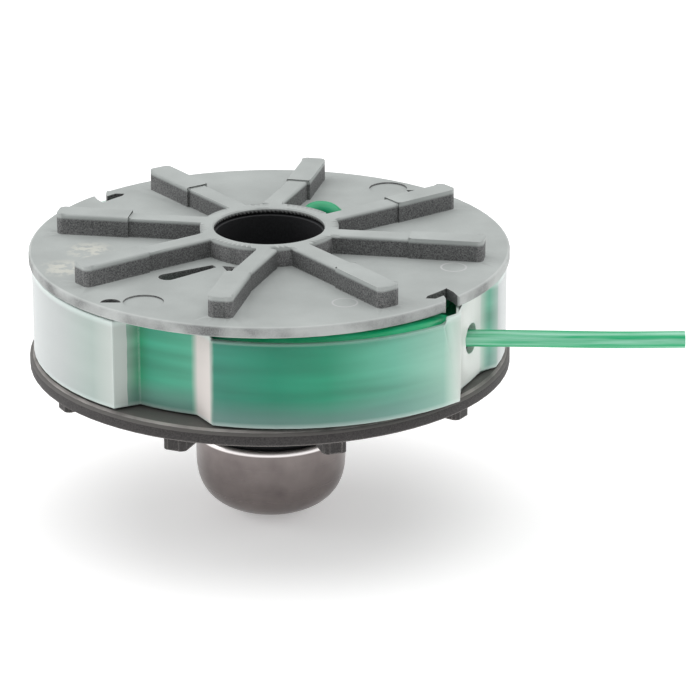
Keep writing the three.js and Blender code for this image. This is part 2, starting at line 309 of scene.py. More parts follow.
        edge = nodes.new("ShaderNodeMapRange")
        edge.label = "Edge mask"
        edge.location = (-930, -580)
        edge.parent = wear_frame
        edge.inputs["From Min"].default_value = 0.985
        edge.inputs["From Max"].default_value = 0.9
        edge.inputs["To Max"].default_value = self.wear
        links.new(turn.outputs["Value"], edge.inputs["Value"])

        tilt = nodes.new("ShaderNodeSeparateXYZ")
        tilt.label = "Tilt of the corner"
        tilt.location = (-1110, -760)
        tilt.parent = wear_frame
        links.new(corner.outputs["Normal"], tilt.inputs["Vector"])

        level = nodes.new("ShaderNodeMath")
        level.label = "Level edges only"
        level.operation = "ABSOLUTE"
        level.location = (-930, -800)
        level.parent = wear_frame
        links.new(tilt.outputs["Z"], level.inputs[0])

        reached = nodes.new("ShaderNodeMath")
        reached.label = "Edges that rub"
        reached.operation = "MULTIPLY"
        reached.location = (-840, -700)
        reached.parent = wear_frame
        links.new(edge.outputs["Result"], reached.inputs[0])
        links.new(level.outputs["Value"], reached.inputs[1])

        broken = nodes.new("ShaderNodeMath")
        broken.label = "Rub comes and goes"
        broken.operation = "MULTIPLY"
        broken.location = (-700, -580)
        broken.parent = wear_frame
        links.new(reached.outputs["Value"], broken.inputs[0])
        links.new(clouded.outputs["Result"], broken.inputs[1])

        rubbed = nodes.new("ShaderNodeMix")
        rubbed.label = "Worn edge colour"
        rubbed.data_type = "RGBA"
        rubbed.location = (-460, 60)
        rubbed.parent = wear_frame
        rubbed.inputs["B"].default_value = (*self.worn, 1)
        links.new(broken.outputs["Value"], rubbed.inputs["Factor"])
        links.new(body.outputs["Result"], rubbed.inputs["A"])

        level_place = nodes.new("ShaderNodeVectorMath")
        level_place.label = "Place across the axis"
        level_place.operation = "MULTIPLY"
        level_place.location = (-1300, -1180)
        level_place.parent = wear_frame
        level_place.inputs[1].default_value = (1.0, 1.0, 0.0)
        links.new(place.outputs["Object"], level_place.inputs[0])

        reach_out = nodes.new("ShaderNodeVectorMath")
        reach_out.label = "Radius from the axis"
        reach_out.operation = "LENGTH"
        reach_out.location = (-1110, -1180)
        reach_out.parent = wear_frame
        links.new(level_place.outputs["Vector"], reach_out.inputs[0])

        rim_line = nodes.new("ShaderNodeMath")
        rim_line.label = "Line round the rim"
        rim_line.operation = "COMPARE"
        rim_line.location = (-930, -1180)
        rim_line.parent = wear_frame
        rim_line.inputs[1].default_value = self.rubbed_ring
        rim_line.inputs[2].default_value = 0.2 * MM
        links.new(reach_out.outputs["Value"], rim_line.inputs[0])

        rim_breaks = nodes.new("ShaderNodeMapRange")
        rim_breaks.label = "Breaks in the worn line"
        rim_breaks.location = (-930, -1360)
        rim_breaks.parent = wear_frame
        rim_breaks.inputs["From Min"].default_value = 0.35
        rim_breaks.inputs["From Max"].default_value = 0.6
        rim_breaks.inputs["To Min"].default_value = 0.15
        rim_breaks.inputs["To Max"].default_value = 0.85
        links.new(cloud.outputs["Fac"], rim_breaks.inputs["Value"])

        rim_wear = nodes.new("ShaderNodeMath")
        rim_wear.label = "Worn line that comes and goes"
        rim_wear.operation = "MULTIPLY"
        rim_wear.location = (-750, -1180)
        rim_wear.parent = wear_frame
        links.new(rim_line.outputs["Value"], rim_wear.inputs[0])
        links.new(rim_breaks.outputs["Result"], rim_wear.inputs[1])

        lined = nodes.new("ShaderNodeMix")
        lined.label = "Worn line colour"
        lined.data_type = "RGBA"
        lined.location = (-370, 220)
        lined.parent = wear_frame
        lined.inputs["B"].default_value = (*self.worn, 1)
        links.new(rim_wear.outputs["Value"], lined.inputs["Factor"])
        links.new(rubbed.outputs["Result"], lined.inputs["A"])

        colour = lined.outputs["Result"]
        for index, centre in enumerate(self.scuffs):
            away = nodes.new("ShaderNodeVectorMath")
            away.label = "Distance from a scuff"
            away.operation = "DISTANCE"
            away.location = (-1300, -950 - 220 * index)
            away.parent = wear_frame
            away.inputs[1].default_value = centre
            links.new(place.outputs["Object"], away.inputs[0])

            patch = nodes.new("ShaderNodeMapRange")
            patch.label = "Scuffed patch"
            patch.location = (-1110, -950 - 220 * index)
            patch.parent = wear_frame
            patch.inputs["From Min"].default_value = 4.0 * MM
            patch.inputs["From Max"].default_value = 1.6 * MM
            links.new(away.outputs["Value"], patch.inputs["Value"])

            flecks = nodes.new("ShaderNodeTexNoise")
            flecks.label = "Flecks of the scuff"
            flecks.location = (-930, -950 - 220 * index)
            flecks.parent = wear_frame
            flecks.inputs["Scale"].default_value = 900.0
            flecks.inputs["Detail"].default_value = 2.0
            links.new(place.outputs["Object"], flecks.inputs["Vector"])

            chipped = nodes.new("ShaderNodeMapRange")
            chipped.label = "Sharp flecks"
            chipped.location = (-750, -950 - 220 * index)
            chipped.parent = wear_frame
            chipped.inputs["From Min"].default_value = 0.44
            chipped.inputs["From Max"].default_value = 0.56
            links.new(flecks.outputs["Fac"], chipped.inputs["Value"])

            inside = nodes.new("ShaderNodeMath")
            inside.label = "Flecks in the patch"
            inside.operation = "MULTIPLY"
            inside.location = (-570, -950 - 220 * index)
            inside.parent = wear_frame
            links.new(patch.outputs["Result"], inside.inputs[0])
            links.new(chipped.outputs["Result"], inside.inputs[1])

            scuffed = nodes.new("ShaderNodeMix")
            scuffed.label = "Creamy scuff colour"
            scuffed.data_type = "RGBA"
            scuffed.location = (-280, -60 - 200 * index)
            scuffed.parent = wear_frame
            scuffed.inputs["B"].default_value = (0.53, 0.535, 0.49, 1)
            links.new(inside.outputs["Value"], scuffed.inputs["Factor"])
            links.new(colour, scuffed.inputs["A"])
            colour = scuffed.outputs["Result"]

        for index, (x, y, radius) in enumerate(self.marks):
            reach = nodes.new("ShaderNodeVectorMath")
            reach.label = "Distance from a pin mark"
            reach.operation = "DISTANCE"
            reach.location = (-1300, -1500 - 200 * index)
            reach.parent = wear_frame
            reach.inputs[1].default_value = (x, y, FLANGE_TOP)
            links.new(place.outputs["Object"], reach.inputs[0])

            ring = nodes.new("ShaderNodeMath")
            ring.label = "Ring of the mark"
            ring.operation = "COMPARE"
            ring.location = (-1110, -1500 - 200 * index)
            ring.parent = wear_frame
            ring.inputs[1].default_value = radius
            ring.inputs[2].default_value = 0.13 * MM
            links.new(reach.outputs["Value"], ring.inputs[0])

            witness = nodes.new("ShaderNodeMix")
            witness.label = "Pale witness line"
            witness.data_type = "RGBA"
            witness.location = (-100, -60 - 200 * index)
            witness.parent = wear_frame
            witness.inputs["B"].default_value = (0.50, 0.51, 0.51, 1)
            links.new(ring.outputs["Value"], witness.inputs["Factor"])
            links.new(colour, witness.inputs["A"])
            colour = witness.outputs["Result"]

        bump = nodes.new("ShaderNodeBump")
        bump.label = "Grain relief"
        bump.location = (-460, -330)
        bump.parent = relief_frame
        bump.inputs["Strength"].default_value = 0.35
        bump.inputs["Distance"].default_value = 0.12 * MM
        links.new(grain.outputs["Fac"], bump.inputs["Height"])

        rough = nodes.new("ShaderNodeMapRange")
        rough.label = "Roughness follows the grain"
        rough.location = (-460, -130)
        rough.parent = relief_frame
        rough.inputs["To Min"].default_value = self.roughness - 0.12
        rough.inputs["To Max"].default_value = self.roughness + 0.16
        links.new(grain.outputs["Fac"], rough.inputs["Value"])

        shader = nodes.new("ShaderNodeBsdfPrincipled")
        shader.label = "Nylon"
        shader.location = (120, 0)
        shader.inputs["Specular IOR Level"].default_value = 0.35
        links.new(colour, shader.inputs["Base Color"])
        links.new(rough.outputs["Result"], shader.inputs["Roughness"])
        links.new(bump.outputs["Normal"], shader.inputs["Normal"])

        output = nodes.new("ShaderNodeOutputMaterial")
        output.label = "Surface"
        output.location = (420, 0)
        links.new(shader.outputs["BSDF"], output.inputs["Surface"])
        return material


@dataclass(frozen=True)
class MilkyPlastic:
    """Translucent band plastic: green where the winding lies close behind, milky elsewhere, with a
    painted highlight along its edges and painted shade near its foot.

    Attributes:
        name: name of the material.
        stations: azimuth in degrees, colour and cover of each stretch of a half turn.
        lower: height of the band's lower edge, in metres.
        upper: height of the band's upper edge, in metres.
    """

    name: str
    stations: tuple[tuple[float, Colour, float], ...]
    lower: float
    upper: float

    def build(self) -> bpy.types.Material:
        """Makes the node material.

        Returns:
            The finished material.
        """
        material = bpy.data.materials.new(self.name)
        material.use_nodes = True
        material.diffuse_color = (0.55, 0.75, 0.68, 1.0)
        tree = material.node_tree
        tree.nodes.clear()
        nodes, links = tree.nodes, tree.links

        round_frame = nodes.new("NodeFrame")
        round_frame.label = "Tint round the band"
        blur_frame = nodes.new("NodeFrame")
        blur_frame.label = "Blurred strands behind"
        edge_highlight_frame = nodes.new("NodeFrame")
        edge_highlight_frame.label = "Painted highlight on the cut edges"

        place = nodes.new("ShaderNodeTexCoord")
        place.label = "Place on the band"
        place.location = (-1500, 0)

        axes = nodes.new("ShaderNodeSeparateXYZ")
        axes.label = "Axes of the band"
        axes.location = (-1320, 0)
        links.new(place.outputs["Object"], axes.inputs["Vector"])

        turned = nodes.new("ShaderNodeMath")
        turned.label = "Front is zero"
        turned.operation = "MULTIPLY"
        turned.location = (-1140, 120)
        turned.parent = round_frame
        turned.inputs[1].default_value = -1.0
        links.new(axes.outputs["Y"], turned.inputs[0])

        azimuth = nodes.new("ShaderNodeMath")
        azimuth.label = "Azimuth"
        azimuth.operation = "ARCTAN2"
        azimuth.location = (-960, 180)
        azimuth.parent = round_frame
        links.new(axes.outputs["X"], azimuth.inputs[0])
        links.new(turned.outputs["Value"], azimuth.inputs[1])

        wobble = nodes.new("ShaderNodeTexNoise")
        wobble.label = "Uneven lie of the line"
        wobble.location = (-1140, -80)
        wobble.parent = blur_frame
        wobble.inputs["Scale"].default_value = 170.0
        wobble.inputs["Detail"].default_value = 2.0
        links.new(place.outputs["Object"], wobble.inputs["Vector"])

        shake = nodes.new("ShaderNodeMapRange")
        shake.label = "Soft border shift"
        shake.location = (-960, -60)
        shake.parent = blur_frame
        shake.inputs["To Min"].default_value = -0.006
        shake.inputs["To Max"].default_value = 0.006
        links.new(wobble.outputs["Fac"], shake.inputs["Value"])

        shifted = nodes.new("ShaderNodeMath")
        shifted.label = "Azimuth with soft borders"
        shifted.operation = "ADD"
        shifted.location = (-780, 180)
        shifted.parent = round_frame
        links.new(azimuth.outputs["Value"], shifted.inputs[0])
        links.new(shake.outputs["Result"], shifted.inputs[1])

        start = math.radians(self.stations[0][0])
        half_turn = nodes.new("ShaderNodeMath")
        half_turn.label = "Both halves alike"
        half_turn.operation = "WRAP"
        half_turn.location = (-600, 180)
        half_turn.parent = round_frame
        half_turn.inputs[1].default_value = start + math.pi
        half_turn.inputs[2].default_value = start
        links.new(shifted.outputs["Value"], half_turn.inputs[0])

        share = nodes.new("ShaderNodeMapRange")
        share.label = "Share of the half turn"
        share.location = (-420, 180)
        share.parent = round_frame
        share.inputs["From Min"].default_value = start
        share.inputs["From Max"].default_value = start + math.pi
        links.new(half_turn.outputs["Value"], share.inputs["Value"])

        tint = nodes.new("ShaderNodeValToRGB")
        tint.label = "Tint and cover of each stretch"
        tint.location = (-240, 180)
        tint.parent = round_frame
        ramp = tint.color_ramp
        while len(ramp.elements) < len(self.stations):
            ramp.elements.new(1.0)
        for element, (angle, colour, cover) in zip(ramp.elements, self.stations):
            element.position = (angle - self.stations[0][0]) / 180.0
            element.color = (*colour, cover)
        links.new(share.outputs["Result"], tint.inputs["Fac"])

        strands = nodes.new("ShaderNodeTexNoise")
        strands.label = "Strands blurred by the band"
        strands.location = (-780, -260)
        strands.parent = blur_frame
        strands.inputs["Scale"].default_value = 1.0
        strands.inputs["Detail"].default_value = 1.5

        drawn_out = nodes.new("ShaderNodeMapping")
        drawn_out.label = "Drawn out along the line"
        drawn_out.location = (-960, -260)
        drawn_out.parent = blur_frame
        drawn_out.inputs["Scale"].default_value = (45.0, 45.0, 420.0)
        links.new(place.outputs["Object"], drawn_out.inputs["Vector"])
        links.new(drawn_out.outputs["Vector"], strands.inputs["Vector"])

        streak = nodes.new("ShaderNodeMapRange")
        streak.label = "Strength of a strand"
        streak.location = (-600, -260)
        streak.parent = blur_frame
        streak.inputs["From Min"].default_value = 0.3
        streak.inputs["From Max"].default_value = 0.7
        streak.inputs["To Min"].default_value = 0.78
        streak.inputs["To Max"].default_value = 1.22
        links.new(strands.outputs["Fac"], streak.inputs["Value"])

        parts = nodes.new("ShaderNodeSeparateColor")
        parts.label = "Red tells the milky stretches"
        parts.location = (-60, -160)
        parts.parent = blur_frame
        links.new(tint.outputs["Color"], parts.inputs["Color"])

        greenness = nodes.new("ShaderNodeMapRange")
        greenness.label = "How green a stretch is"
        greenness.location = (-60, -340)
        greenness.parent = blur_frame
        greenness.inputs["From Min"].default_value = 0.45
        greenness.inputs["From Max"].default_value = 0.1
        greenness.inputs["To Min"].default_value = 0.06
        links.new(parts.outputs["Red"], greenness.inputs["Value"])

        streaked = nodes.new("ShaderNodeMix")
        streaked.label = "Strands in the tint"
        streaked.data_type = "RGBA"
        streaked.blend_type = "MULTIPLY"
        streaked.location = (100, 60)
        streaked.parent = blur_frame
        links.new(greenness.outputs["Result"], streaked.inputs["Factor"])
        links.new(tint.outputs["Color"], streaked.inputs["A"])
        links.new(streak.outputs["Result"], streaked.inputs["B"])

        # Painted highlight: light gathered in the band's cut edges and folds is painted as a pale
        # colour with more cover.
        foot = nodes.new("ShaderNodeMapRange")
        foot.label = "Lower edge"
        foot.location = (-960, -520)
        foot.parent = edge_highlight_frame
        foot.inputs["From Min"].default_value = self.lower + 0.75 * MM
        foot.inputs["From Max"].default_value = self.lower + 0.1 * MM
        links.new(axes.outputs["Z"], foot.inputs["Value"])

        head = nodes.new("ShaderNodeMapRange")
        head.label = "Upper edge"
        head.location = (-960, -760)
        head.parent = edge_highlight_frame
        head.inputs["From Min"].default_value = self.upper - 0.95 * MM
        head.inputs["From Max"].default_value = self.upper - 0.35 * MM
        links.new(axes.outputs["Z"], head.inputs["Value"])

        rim = nodes.new("ShaderNodeMath")
        rim.label = "Either edge"
        rim.operation = "MAXIMUM"
        rim.location = (-780, -620)
        rim.parent = edge_highlight_frame
        links.new(foot.outputs["Result"], rim.inputs[0])
        links.new(head.outputs["Result"], rim.inputs[1])

        corner = nodes.new("ShaderNodeBevel")
        corner.label = "Rounded corner"
        corner.samples = 4
        corner.location = (-960, -1000)
        corner.parent = edge_highlight_frame
        corner.inputs["Radius"].default_value = 0.5 * MM

        surface = nodes.new("ShaderNodeNewGeometry")
        surface.label = "True surface"
        surface.location = (-960, -1160)
        surface.parent = edge_highlight_frame

        turn = nodes.new("ShaderNodeVectorMath")
        turn.label = "Turn at the corner"
        turn.operation = "DOT_PRODUCT"
        turn.location = (-780, -1040)
        turn.parent = edge_highlight_frame
        links.new(corner.outputs["Normal"], turn.inputs[0])
        links.new(surface.outputs["Normal"], turn.inputs[1])

        fold = nodes.new("ShaderNodeMapRange")
        fold.label = "Fold mask"
        fold.location = (-600, -1040)
        fold.parent = edge_highlight_frame
        fold.inputs["From Min"].default_value = 0.985
        fold.inputs["From Max"].default_value = 0.85
        links.new(turn.outputs["Value"], fold.inputs["Value"])

        gather = nodes.new("ShaderNodeMath")
        gather.label = "Light gathered in the edges"
        gather.operation = "MAXIMUM"
        gather.location = (-420, -760)
        gather.parent = edge_highlight_frame
        links.new(rim.outputs["Value"], gather.inputs[0])
        links.new(fold.outputs["Result"], gather.inputs[1])

        softened = nodes.new("ShaderNodeMath")
        softened.label = "Edge strength"
        softened.operation = "MULTIPLY"
        softened.location = (-240, -760)
        softened.parent = edge_highlight_frame
        softened.inputs[1].default_value = 0.55
        links.new(gather.outputs["Value"], softened.inputs[0])

        # Painted shade: towards its foot the band is greyed in the green stretches, standing in
        # for the shade in the gap under the last turn of line.
        painted_foot_shade = nodes.new("ShaderNodeMapRange")
        painted_foot_shade.label = "Painted shade under the last turn"
        painted_foot_shade.location = (-240, -480)
        painted_foot_shade.parent = blur_frame
        painted_foot_shade.inputs["From Min"].default_value = self.lower + 4.2 * MM
        painted_foot_shade.inputs["From Max"].default_value = self.lower + 1.2 * MM
        painted_foot_shade.inputs["To Max"].default_value = 0.6
        links.new(axes.outputs["Z"], painted_foot_shade.inputs["Value"])

        gap = nodes.new("ShaderNodeMath")
        gap.label = "Painted shade shows in green stretches"
        gap.operation = "MULTIPLY"
        gap.location = (-60, -520)
        gap.parent = blur_frame
        links.new(painted_foot_shade.outputs["Result"], gap.inputs[0])
        links.new(greenness.outputs["Result"], gap.inputs[1])

        foot_shaded = nodes.new("ShaderNodeMix")
        foot_shaded.label = "Greyer towards the foot"
        foot_shaded.data_type = "RGBA"
        foot_shaded.location = (260, 220)
        foot_shaded.parent = blur_frame
        foot_shaded.inputs["B"].default_value = (0.20, 0.29, 0.29, 1)
        links.new(gap.outputs["Value"], foot_shaded.inputs["Factor"])
        links.new(streaked.outputs["Result"], foot_shaded.inputs["A"])

        bright = nodes.new("ShaderNodeMix")
        bright.label = "Painted edge highlight colour"
        bright.data_type = "RGBA"
        bright.location = (260, 60)
        bright.parent = edge_highlight_frame
        bright.inputs["B"].default_value = (0.72, 0.82, 0.79, 1)
        links.new(softened.outputs["Value"], bright.inputs["Factor"])
        links.new(foot_shaded.outputs["Result"], bright.inputs["A"])

        cover = nodes.new("ShaderNodeMath")
        cover.label = "Cover of band and edges"
        cover.operation = "MAXIMUM"
        cover.location = (260, -180)
        cover.parent = edge_highlight_frame
        links.new(tint.outputs["Alpha"], cover.inputs[0])
        links.new(softened.outputs["Value"], cover.inputs[1])

        drag = nodes.new("ShaderNodeTexNoise")
        drag.label = "Fine drag marks"
        drag.location = (60, -420)
        drag.parent = blur_frame
        drag.inputs["Scale"].default_value = 700.0
        links.new(drawn_out.outputs["Vector"], drag.inputs["Vector"])

        bump = nodes.new("ShaderNodeBump")
        bump.label = "Slight waves of the band"
        bump.location = (260, -420)
        bump.inputs["Strength"].default_value = 0.05
        bump.inputs["Distance"].default_value = 0.05 * MM
        links.new(wobble.outputs["Fac"], bump.inputs["Height"])

        rough = nodes.new("ShaderNodeMapRange")
        rough.label = "Half-gloss, dulled by drag"
        rough.location = (260, -640)
        rough.inputs["To Min"].default_value = 0.22
        rough.inputs["To Max"].default_value = 0.38
        links.new(drag.outputs["Fac"], rough.inputs["Value"])

        shader = nodes.new("ShaderNodeBsdfPrincipled")
        shader.label = "Milky plastic"
        shader.location = (520, 0)
        shader.inputs["Specular IOR Level"].default_value = 0.45
        links.new(bright.outputs["Result"], shader.inputs["Base Color"])
        links.new(cover.outputs["Value"], shader.inputs["Alpha"])
        links.new(rough.outputs["Result"], shader.inputs["Roughness"])
        links.new(bump.outputs["Normal"], shader.inputs["Normal"])

        output = nodes.new("ShaderNodeOutputMaterial")
        output.label = "Surface"
        output.location = (820, 0)
        links.new(shader.outputs["BSDF"], output.inputs["Surface"])
        return material


@dataclass(frozen=True)
class DrawnNylon:
    """Green cutting line with pale streaks along it, which on the free end are partly painted
    highlight.

    Attributes:
        name: name of the material.
        deep: colour of the clear green.
        pale: colour of the streaks, partly a painted highlight.
        stretch: how the streaks are drawn out on each axis.
    """

    name: str
    deep: Colour
    pale: Colour
    stretch: Colour

    def build(self) -> bpy.types.Material:
        """Makes the node material.

        Returns:
            The finished material.
        """
        material = bpy.data.materials.new(self.name)
        material.use_nodes = True
        material.diffuse_color = (*self.deep, 1.0)
        tree = material.node_tree
        tree.nodes.clear()
        nodes, links = tree.nodes, tree.links

        streak_frame = nodes.new("NodeFrame")
        streak_frame.label = "Pale streaks and painted highlight"
        relief_frame = nodes.new("NodeFrame")
        relief_frame.label = "Drawn surface"

        place = nodes.new("ShaderNodeTexCoord")
        place.label = "Place on the line"
        place.location = (-1000, 0)

        drawn = nodes.new("ShaderNodeMapping")
        drawn.label = "Drawn along the line"
        drawn.location = (-820, 0)
        drawn.parent = streak_frame
        drawn.inputs["Rotation"].default_value = (0.0, 0.0, 0.03)
        drawn.inputs["Scale"].default_value = self.stretch
        links.new(place.outputs["Object"], drawn.inputs["Vector"])

        streaks = nodes.new("ShaderNodeTexNoise")
        streaks.label = "Streak pattern"
        streaks.location = (-620, 0)
        streaks.parent = streak_frame
        streaks.inputs["Scale"].default_value = 1.0
        streaks.inputs["Detail"].default_value = 3.0
        links.new(drawn.outputs["Vector"], streaks.inputs["Vector"])

        mixing = nodes.new("ShaderNodeValToRGB")
        mixing.label = "Clear green to pale streak and highlight"
        mixing.location = (-420, 0)
        mixing.parent = streak_frame
        mixing.color_ramp.elements[0].position = 0.42
        mixing.color_ramp.elements[0].color = (*self.deep, 1)
        mixing.color_ramp.elements[1].position = 0.66
        mixing.color_ramp.elements[1].color = (*self.pale, 1)
        links.new(streaks.outputs["Fac"], mixing.inputs["Fac"])

        scratch = nodes.new("ShaderNodeTexNoise")
        scratch.label = "Fine scratches"
        scratch.location = (-620, -300)
        scratch.parent = relief_frame
        scratch.inputs["Scale"].default_value = 1900.0
        scratch.inputs["Detail"].default_value = 2.0
        links.new(place.outputs["Object"], scratch.inputs["Vector"])

        rough = nodes.new("ShaderNodeMapRange")
        rough.label = "Uneven gloss"
        rough.location = (-420, -260)
        rough.parent = relief_frame
        rough.inputs["To Min"].default_value = 0.22
        rough.inputs["To Max"].default_value = 0.5
        links.new(scratch.outputs["Fac"], rough.inputs["Value"])

        bump = nodes.new("ShaderNodeBump")
        bump.label = "Drawn ridges"
        bump.location = (-220, -300)
        bump.parent = relief_frame
        bump.inputs["Strength"].default_value = 0.4
        bump.inputs["Distance"].default_value = 0.15 * MM
        links.new(streaks.outputs["Fac"], bump.inputs["Height"])

        shader = nodes.new("ShaderNodeBsdfPrincipled")
        shader.label = "Nylon line"
        shader.location = (0, 0)
        shader.inputs["Specular IOR Level"].default_value = 0.5
        shader.inputs["Coat Weight"].default_value = 0.15
        links.new(mixing.outputs["Color"], shader.inputs["Base Color"])
        links.new(rough.outputs["Result"], shader.inputs["Roughness"])
        links.new(bump.outputs["Normal"], shader.inputs["Normal"])

        output = nodes.new("ShaderNodeOutputMaterial")
        output.label = "Surface"
        output.location = (300, 0)
        links.new(shader.outputs["BSDF"], output.inputs["Surface"])
        return material


@dataclass(frozen=True)
class TurnedMetal:
    """Satin metal with fine turning lines round the spool's axis.

    Attributes:
        name: name of the material.
        bright: colour of clean metal.
        dull: colour of handled metal.
        roughness: middle roughness.
        lines: turning lines for each metre of height.
        rim_highlight_above: height above which the metal takes a painted highlight, in metres.
    """

    name: str
    bright: Colour
    dull: Colour
    roughness: float
    lines: float = 2600.0
    rim_highlight_above: float = 1.0

    def build(self) -> bpy.types.Material:
        """Makes the node material.

        Returns:
            The finished material.
        """
        material = bpy.data.materials.new(self.name)
        material.use_nodes = True
        material.diffuse_color = (*self.bright, 1.0)
        tree = material.node_tree
        tree.nodes.clear()
        nodes, links = tree.nodes, tree.links

        turning_frame = nodes.new("NodeFrame")
        turning_frame.label = "Turning lines"
        handling_frame = nodes.new("NodeFrame")
        handling_frame.label = "Handling smears"

        place = nodes.new("ShaderNodeTexCoord")
        place.label = "Place on the metal"
        place.location = (-1000, 0)

        flat = nodes.new("ShaderNodeMapping")
        flat.label = "Lines run round"
        flat.location = (-820, -200)
        flat.parent = turning_frame
        flat.inputs["Scale"].default_value = (40.0, 40.0, self.lines)
        links.new(place.outputs["Object"], flat.inputs["Vector"])

        turning = nodes.new("ShaderNodeTexNoise")
        turning.label = "Turning line pattern"
        turning.location = (-620, -200)
        turning.parent = turning_frame
        turning.inputs["Scale"].default_value = 1.0
        turning.inputs["Detail"].default_value = 2.0
        links.new(flat.outputs["Vector"], turning.inputs["Vector"])

        smears = nodes.new("ShaderNodeTexNoise")
        smears.label = "Smears"
        smears.location = (-620, 100)
        smears.parent = handling_frame
        smears.inputs["Scale"].default_value = 260.0
        smears.inputs["Detail"].default_value = 5.0
        links.new(place.outputs["Object"], smears.inputs["Vector"])

        tone = nodes.new("ShaderNodeValToRGB")
        tone.label = "Clean to handled"
        tone.location = (-420, 100)
        tone.parent = handling_frame
        tone.color_ramp.elements[0].position = 0.35
        tone.color_ramp.elements[0].color = (*self.bright, 1)
        tone.color_ramp.elements[1].position = 0.75
        tone.color_ramp.elements[1].color = (*self.dull, 1)
        links.new(smears.outputs["Fac"], tone.inputs["Fac"])

        rise = nodes.new("ShaderNodeSeparateXYZ")
        rise.label = "Height on the metal"
        rise.location = (-620, 380)
        rise.parent = handling_frame
        links.new(place.outputs["Object"], rise.inputs["Vector"])

        # Painted highlight: above this height the knob's top rim is painted near white, where it
        # catches the light.
        rim_highlight_mask = nodes.new("ShaderNodeMapRange")
        rim_highlight_mask.label = "Painted rim highlight"
        rim_highlight_mask.location = (-420, 380)
        rim_highlight_mask.parent = handling_frame
        rim_highlight_mask.inputs["From Min"].default_value = self.rim_highlight_above - 0.2 * MM
        rim_highlight_mask.inputs["From Max"].default_value = self.rim_highlight_above
        links.new(rise.outputs["Z"], rim_highlight_mask.inputs["Value"])

        rim_highlight = nodes.new("ShaderNodeMix")
        rim_highlight.label = "Painted rim highlight colour"
        rim_highlight.data_type = "RGBA"
        rim_highlight.location = (-200, 200)
        rim_highlight.parent = handling_frame
        rim_highlight.inputs["B"].default_value = (0.86, 0.82, 0.81, 1)
        links.new(rim_highlight_mask.outputs["Result"], rim_highlight.inputs["Factor"])
        links.new(tone.outputs["Color"], rim_highlight.inputs["A"])

        rough = nodes.new("ShaderNodeMapRange")
        rough.label = "Satin roughness"
        rough.location = (-420, -140)
        rough.parent = turning_frame
        rough.inputs["To Min"].default_value = self.roughness - 0.08
        rough.inputs["To Max"].default_value = self.roughness + 0.1
        links.new(turning.outputs["Fac"], rough.inputs["Value"])

        bump = nodes.new("ShaderNodeBump")
        bump.label = "Turned relief"
        bump.location = (-220, -300)
        bump.parent = turning_frame
        bump.inputs["Strength"].default_value = 0.12
        bump.inputs["Distance"].default_value = 0.05 * MM
        links.new(turning.outputs["Fac"], bump.inputs["Height"])

        shader = nodes.new("ShaderNodeBsdfPrincipled")
        shader.label = "Satin metal"
        shader.location = (0, 0)
        shader.inputs["Metallic"].default_value = 1.0
        links.new(rim_highlight.outputs["Result"], shader.inputs["Base Color"])
        links.new(rough.outputs["Result"], shader.inputs["Roughness"])
        links.new(bump.outputs["Normal"], shader.inputs["Normal"])

        output = nodes.new("ShaderNodeOutputMaterial")
        output.label = "Surface"
        output.location = (300, 0)
        links.new(shader.outputs["BSDF"], output.inputs["Surface"])
        return material


# ------------------------------------------------------------------ pieces
def mesh_piece(name: str, mesh: bpy.types.Mesh, body: Body,
               material: bpy.types.Material) -> bpy.types.Object:
    """Places a finished mesh on its body.

    Args:
        name: name of the piece.
        mesh: the mesh, in the row frame.
        body: body that it rides on.
        material: its material.

    Returns:
        The new object.
    """
    piece = bpy.data.objects.new(name, mesh)
    bpy.context.scene.collection.objects.link(piece)
    mesh.materials.clear()
    mesh.materials.append(material)
    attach(piece, body.value)
    return piece


def line_curve(name: str, points: list[Vector], diameter: float, body: Body,
               material: bpy.types.Material, sides: int = 3) -> bpy.types.Object:
    """Makes a round line through points as one open spline.

    Args:
        name: name of the piece.
        points: the centre line, in metres.
        diameter: thickness of the line, in metres.
        body: body that it rides on.
        material: its material.
        sides: fineness of the round section.

    Returns:
        The curve object.
    """
    curve = bpy.data.curves.new(name, "CURVE")
    curve.dimensions = "3D"
    curve.bevel_depth = diameter / 2
    curve.bevel_resolution = sides
    curve.use_fill_caps = True
    spline = curve.splines.new("POLY")
    spline.points.add(len(points) - 1)
    for vertex, point in zip(spline.points, points):
        vertex.co = (*point, 1.0)
    spline.use_smooth = True
    curve.materials.append(material)
    piece = bpy.data.objects.new(name, curve)
    bpy.context.scene.collection.objects.link(piece)
    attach(piece, body.value)
    return piece


def smooth_route(route: list[Vector], steps: int) -> list[Vector]:
    """Runs a Catmull-Rom curve through a route.

    Args:
        route: points that the line passes.
        steps: points made on each stretch.

    Returns:
        The points of the smooth line.
    """
    ends = [2 * route[0] - route[1], *route, 2 * route[-1] - route[-2]]
    made: list[Vector] = []
    for before, start, end, after in zip(ends, ends[1:], ends[2:], ends[3:]):
        for step in range(steps):
            t = step / steps
            made.append(0.5 * (2 * start + (end - before) * t
                               + (2 * before - 5 * start + 4 * end - after) * t * t
                               + (3 * start - before - 3 * end + after) * t ** 3))
    made.append(route[-1].copy())
    return made


